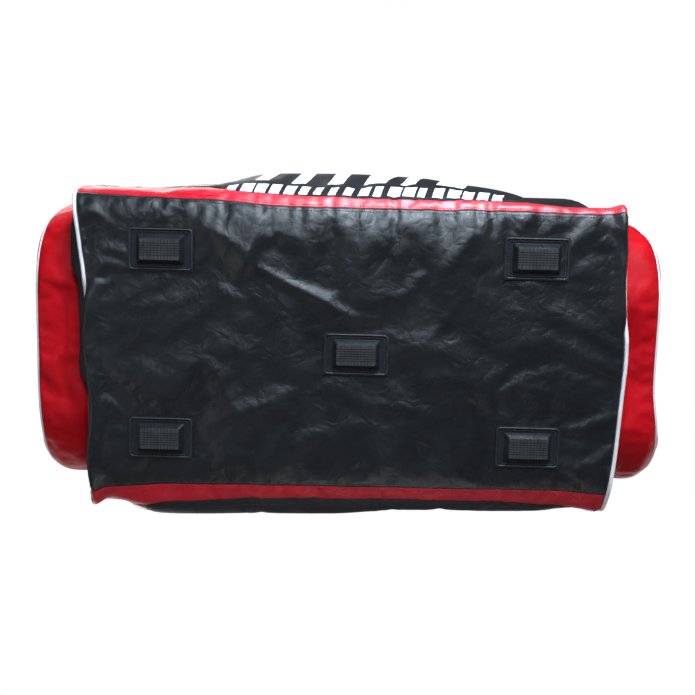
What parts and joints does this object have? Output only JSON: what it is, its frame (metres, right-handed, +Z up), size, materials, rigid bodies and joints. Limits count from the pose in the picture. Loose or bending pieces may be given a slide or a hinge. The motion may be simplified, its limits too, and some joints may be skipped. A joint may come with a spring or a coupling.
{
  "type": "hockey equipment bag",
  "caption": "Long soft sports kit bag: coated base with moulded skid feet, red bands and end pockets, white piping, zipped lid and webbing handles.",
  "frame": {"origin": "centre of the plane that the moulded feet stand on", "axes": "+X along the bag towards its right end pocket, -Y towards the front panel with the print, +Z up"},
  "size_m": [0.916, 0.492, 0.44],
  "materials": {
    "base_fabric": "coated woven nylon, semi-gloss, wrinkled",
    "black_fabric": "woven nylon, satin",
    "red_fabric": "woven nylon, satin",
    "white_piping": "flexible piping, satin",
    "foot_plastic": "moulded, satin",
    "stiffener": "hollow-fluted board, matt",
    "webbing": "woven strap, ribbed",
    "grip_padding": "padded wrap, matt",
    "zip_tape": "woven tape and nylon coil, matt",
    "zip_metal": "dark nickel, satin"
  },
  "bodies": {
    "bag": {"bottom_panel": "base_fabric", "base_board": "stiffener", "front_lower_band": "red_fabric", "back_lower_band": "red_fabric", "front_panel": "black_fabric", "back_panel": "black_fabric", "left_end_panel": "black_fabric", "right_end_panel": "black_fabric", "left_end_piping": "white_piping", "right_end_piping": "white_piping", "top_rim": "black_fabric", "rim_zip_half": "zip_tape", "foot_front_left": "foot_plastic", "foot_front_right": "foot_plastic", "foot_back_left": "foot_plastic", "foot_back_right": "foot_plastic", "foot_centre": "foot_plastic", "front_handle_anchors": "webbing", "back_handle_anchors": "webbing", "left_pocket_gusset": "red_fabric", "left_pocket_face": "red_fabric", "left_pocket_piping": "white_piping", "left_face_zip_half": "zip_tape", "right_pocket_gusset": "red_fabric", "right_pocket_face": "red_fabric", "right_pocket_piping": "white_piping", "right_face_zip_half": "zip_tape"},
    "lid": {"lid_panel": "black_fabric", "lid_zip_half": "zip_tape"},
    "lid_slider_left": {"main_slider_left": "zip_metal"},
    "lid_puller_left": {"main_puller_left": "zip_metal"},
    "lid_slider_right": {"main_slider_right": "zip_metal"},
    "lid_puller_right": {"main_puller_right": "zip_metal"},
    "front_loop": {"front_handle": "webbing", "front_grip": "grip_padding"},
    "back_loop": {"back_handle": "webbing", "back_grip": "grip_padding"},
    "left_flap": {"left_pocket_flap": "red_fabric", "left_flap_zip_half": "zip_tape"},
    "left_flap_slider": {"left_pocket_slider": "zip_metal"},
    "left_flap_puller": {"left_pocket_puller": "zip_metal"},
    "right_flap": {"right_pocket_flap": "red_fabric", "right_flap_zip_half": "zip_tape"},
    "right_flap_slider": {"right_pocket_slider": "zip_metal"},
    "right_flap_puller": {"right_pocket_puller": "zip_metal"}
  },
  "joints": [
    {"name": "lid_hinge", "type": "hinge", "parent": "bag", "child": "lid", "pos_m": [0, 0.183, 0.433], "axis": [-1, 0, 0], "range_deg": [0, 95]},
    {"name": "lid_zip_left", "type": "slide", "parent": "lid", "child": "lid_slider_left", "axis": [-1, 0, 0], "range_m": [0, 0.27]},
    {"name": "lid_puller_left_pivot", "type": "hinge", "parent": "lid_slider_left", "child": "lid_puller_left", "pos_m": [-0.011, -0.176, 0.4382], "axis": [0, 1, 0], "range_deg": [0, 100]},
    {"name": "lid_zip_right", "type": "slide", "parent": "lid", "child": "lid_slider_right", "axis": [1, 0, 0], "range_m": [0, 0.27]},
    {"name": "lid_puller_right_pivot", "type": "hinge", "parent": "lid_slider_right", "child": "lid_puller_right", "pos_m": [0.011, -0.176, 0.4382], "axis": [0, -1, 0], "range_deg": [0, 100]},
    {"name": "front_handle_fold", "type": "hinge", "parent": "bag", "child": "front_loop", "pos_m": [0, -0.2358, 0.39], "axis": [-1, 0, 0], "range_deg": [0, 180]},
    {"name": "back_handle_fold", "type": "hinge", "parent": "bag", "child": "back_loop", "pos_m": [0, 0.2358, 0.39], "axis": [1, 0, 0], "range_deg": [0, 180]},
    {"name": "left_flap_hinge", "type": "hinge", "parent": "bag", "child": "left_flap", "pos_m": [-0.3886, 0, 0.342], "axis": [0, 1, 0], "range_deg": [0, 50]},
    {"name": "left_flap_zip", "type": "slide", "parent": "left_flap", "child": "left_flap_slider", "axis": [0, 1, 0], "range_m": [0, 0.264]},
    {"name": "left_flap_puller_pivot", "type": "hinge", "parent": "left_flap_slider", "child": "left_flap_puller", "pos_m": [-0.44, -0.132, 0.3476], "axis": [1, 0, 0], "range_deg": [0, 170]},
    {"name": "right_flap_hinge", "type": "hinge", "parent": "bag", "child": "right_flap", "pos_m": [0.3886, 0, 0.342], "axis": [0, -1, 0], "range_deg": [0, 50]},
    {"name": "right_flap_zip", "type": "slide", "parent": "right_flap", "child": "right_flap_slider", "axis": [0, 1, 0], "range_m": [0, 0.264]},
    {"name": "right_flap_puller_pivot", "type": "hinge", "parent": "right_flap_slider", "child": "right_flap_puller", "pos_m": [0.44, -0.132, 0.3476], "axis": [1, 0, 0], "range_deg": [0, 170]}
  ]
}
